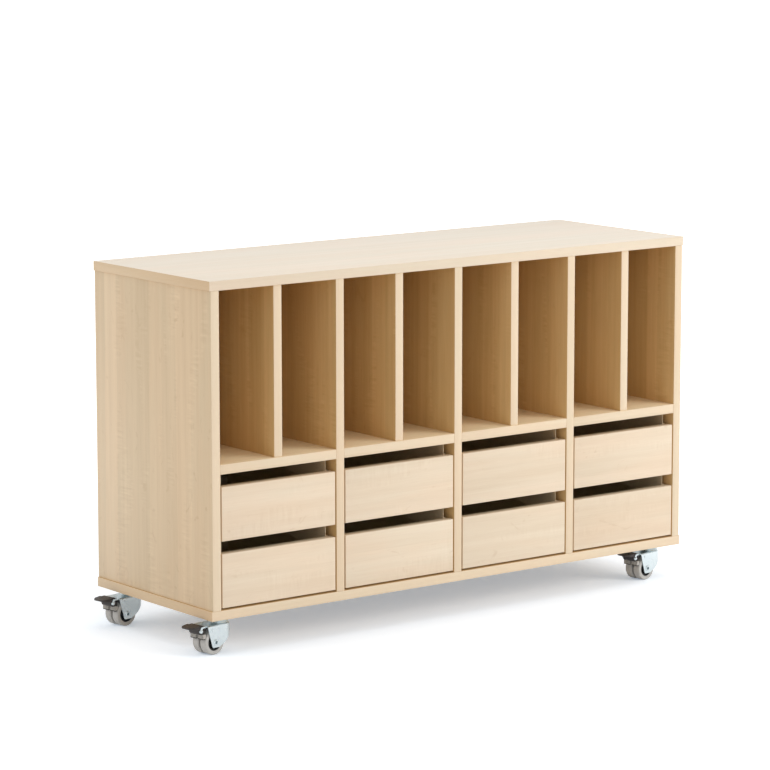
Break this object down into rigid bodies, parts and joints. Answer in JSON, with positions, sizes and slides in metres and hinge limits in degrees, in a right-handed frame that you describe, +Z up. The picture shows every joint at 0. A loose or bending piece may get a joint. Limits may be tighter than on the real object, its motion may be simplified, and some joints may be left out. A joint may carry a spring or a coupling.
{
  "type": "drawer unit",
  "caption": "Mobile laminated wood unit with handleless drawers below open upright compartments, on braked twin-wheel swivel casters.",
  "frame": {"origin": "on the floor, under the middle of the whole object's footprint, levers included", "axes": "+Z up, +X along the length to the right, -Y to the front with the drawers"},
  "size_m": [1.2418, 0.403, 0.7275],
  "materials": {
    "laminate": "pale birch laminate, satin",
    "back_board": "pale laminate, satin",
    "base_board": "pale laminate, matt",
    "dowel_wood": "plain beech",
    "runner_steel": "pale coated sheet",
    "zinc_steel": "bright zinc plate",
    "tyre_rubber": "grey non-marking tread",
    "brake_plastic": "black moulded"
  },
  "bodies": {
    "cabinet": {"top_panel": "laminate", "bottom_panel": "laminate", "left_side": "laminate", "right_side": "laminate", "main_divider_1": "laminate", "main_divider_2": "laminate", "main_divider_3": "laminate", "shelf_1": "laminate", "shelf_2": "laminate", "shelf_3": "laminate", "shelf_4": "laminate", "slot_divider_1": "laminate", "slot_divider_2": "laminate", "slot_divider_3": "laminate", "slot_divider_4": "laminate", "back_panel": "back_board", "carcass_dowels": "dowel_wood", "drawer_rails": "runner_steel", "mounting_screws": "zinc_steel", "caster_plates": "zinc_steel"},
    "drawer_1": {"drawer_front_1": "laminate", "drawer_sides_1": "runner_steel", "drawer_base_1": "base_board"},
    "drawer_2": {"drawer_front_2": "laminate", "drawer_sides_2": "runner_steel", "drawer_base_2": "base_board"},
    "drawer_3": {"drawer_front_3": "laminate", "drawer_sides_3": "runner_steel", "drawer_base_3": "base_board"},
    "drawer_4": {"drawer_front_4": "laminate", "drawer_sides_4": "runner_steel", "drawer_base_4": "base_board"},
    "drawer_5": {"drawer_front_5": "laminate", "drawer_sides_5": "runner_steel", "drawer_base_5": "base_board"},
    "drawer_6": {"drawer_front_6": "laminate", "drawer_sides_6": "runner_steel", "drawer_base_6": "base_board"},
    "drawer_7": {"drawer_front_7": "laminate", "drawer_sides_7": "runner_steel", "drawer_base_7": "base_board"},
    "drawer_8": {"drawer_front_8": "laminate", "drawer_sides_8": "runner_steel", "drawer_base_8": "base_board"},
    "caster_1": {"caster_fork_1": "zinc_steel"},
    "wheel_1_near": {"caster_wheel_1_near": "tyre_rubber"},
    "wheel_1_far": {"caster_wheel_1_far": "tyre_rubber"},
    "brake_1": {"brake_lever_1": "brake_plastic"},
    "caster_2": {"caster_fork_2": "zinc_steel"},
    "wheel_2_near": {"caster_wheel_2_near": "tyre_rubber"},
    "wheel_2_far": {"caster_wheel_2_far": "tyre_rubber"},
    "brake_2": {"brake_lever_2": "brake_plastic"},
    "caster_3": {"caster_fork_3": "zinc_steel"},
    "wheel_3_near": {"caster_wheel_3_near": "tyre_rubber"},
    "wheel_3_far": {"caster_wheel_3_far": "tyre_rubber"},
    "brake_3": {"brake_lever_3": "brake_plastic"},
    "caster_4": {"caster_fork_4": "zinc_steel"},
    "wheel_4_near": {"caster_wheel_4_near": "tyre_rubber"},
    "wheel_4_far": {"caster_wheel_4_far": "tyre_rubber"},
    "brake_4": {"brake_lever_4": "brake_plastic"}
  },
  "joints": [
    {"name": "drawer_1_slide", "type": "slide", "parent": "cabinet", "child": "drawer_1", "axis": [0, -1, 0], "range_m": [0, 0.28]},
    {"name": "drawer_2_slide", "type": "slide", "parent": "cabinet", "child": "drawer_2", "axis": [0, -1, 0], "range_m": [0, 0.28]},
    {"name": "drawer_3_slide", "type": "slide", "parent": "cabinet", "child": "drawer_3", "axis": [0, -1, 0], "range_m": [0, 0.28]},
    {"name": "drawer_4_slide", "type": "slide", "parent": "cabinet", "child": "drawer_4", "axis": [0, -1, 0], "range_m": [0, 0.28]},
    {"name": "drawer_5_slide", "type": "slide", "parent": "cabinet", "child": "drawer_5", "axis": [0, -1, 0], "range_m": [0, 0.28]},
    {"name": "drawer_6_slide", "type": "slide", "parent": "cabinet", "child": "drawer_6", "axis": [0, -1, 0], "range_m": [0, 0.28]},
    {"name": "drawer_7_slide", "type": "slide", "parent": "cabinet", "child": "drawer_7", "axis": [0, -1, 0], "range_m": [0, 0.28]},
    {"name": "drawer_8_slide", "type": "slide", "parent": "cabinet", "child": "drawer_8", "axis": [0, -1, 0], "range_m": [0, 0.28]},
    {"name": "caster_1_swivel", "type": "hinge", "parent": "cabinet", "child": "caster_1", "pos_m": [-0.53243, -0.1544, 0.072], "axis": [0, 0, 1], "continuous": true},
    {"name": "wheel_1_near_spin", "type": "hinge", "parent": "caster_1", "child": "wheel_1_near", "pos_m": [-0.5591, -0.15862, 0.025], "axis": [-0.1564, 0.9877, 0], "continuous": true},
    {"name": "wheel_1_far_spin", "type": "hinge", "parent": "caster_1", "child": "wheel_1_far", "pos_m": [-0.5591, -0.15862, 0.025], "axis": [-0.1564, 0.9877, 0], "continuous": true},
    {"name": "brake_1_pedal", "type": "hinge", "parent": "caster_1", "child": "brake_1", "pos_m": [-0.59268, -0.16394, 0.0507], "axis": [0.1564, -0.9877, 0], "range_deg": [0, 10]},
    {"name": "caster_2_swivel", "type": "hinge", "parent": "cabinet", "child": "caster_2", "pos_m": [0.57417, -0.1544, 0.072], "axis": [0, 0, 1], "continuous": true},
    {"name": "wheel_2_near_spin", "type": "hinge", "parent": "caster_2", "child": "wheel_2_near", "pos_m": [0.5475, -0.15862, 0.025], "axis": [-0.1564, 0.9877, 0], "continuous": true},
    {"name": "wheel_2_far_spin", "type": "hinge", "parent": "caster_2", "child": "wheel_2_far", "pos_m": [0.5475, -0.15862, 0.025], "axis": [-0.1564, 0.9877, 0], "continuous": true},
    {"name": "brake_2_pedal", "type": "hinge", "parent": "caster_2", "child": "brake_2", "pos_m": [0.51392, -0.16394, 0.0507], "axis": [0.1564, -0.9877, 0], "range_deg": [0, 10]},
    {"name": "caster_3_swivel", "type": "hinge", "parent": "cabinet", "child": "caster_3", "pos_m": [-0.53243, 0.1544, 0.072], "axis": [0, 0, 1], "continuous": true},
    {"name": "wheel_3_near_spin", "type": "hinge", "parent": "caster_3", "child": "wheel_3_near", "pos_m": [-0.5591, 0.15018, 0.025], "axis": [-0.1564, 0.9877, 0], "continuous": true},
    {"name": "wheel_3_far_spin", "type": "hinge", "parent": "caster_3", "child": "wheel_3_far", "pos_m": [-0.5591, 0.15018, 0.025], "axis": [-0.1564, 0.9877, 0], "continuous": true},
    {"name": "brake_3_pedal", "type": "hinge", "parent": "caster_3", "child": "brake_3", "pos_m": [-0.59268, 0.14486, 0.0507], "axis": [0.1564, -0.9877, 0], "range_deg": [0, 10]},
    {"name": "caster_4_swivel", "type": "hinge", "parent": "cabinet", "child": "caster_4", "pos_m": [0.57417, 0.1544, 0.072], "axis": [0, 0, 1], "continuous": true},
    {"name": "wheel_4_near_spin", "type": "hinge", "parent": "caster_4", "child": "wheel_4_near", "pos_m": [0.5475, 0.15018, 0.025], "axis": [-0.1564, 0.9877, 0], "continuous": true},
    {"name": "wheel_4_far_spin", "type": "hinge", "parent": "caster_4", "child": "wheel_4_far", "pos_m": [0.5475, 0.15018, 0.025], "axis": [-0.1564, 0.9877, 0], "continuous": true},
    {"name": "brake_4_pedal", "type": "hinge", "parent": "caster_4", "child": "brake_4", "pos_m": [0.51392, 0.14486, 0.0507], "axis": [0.1564, -0.9877, 0], "range_deg": [0, 10]}
  ]
}
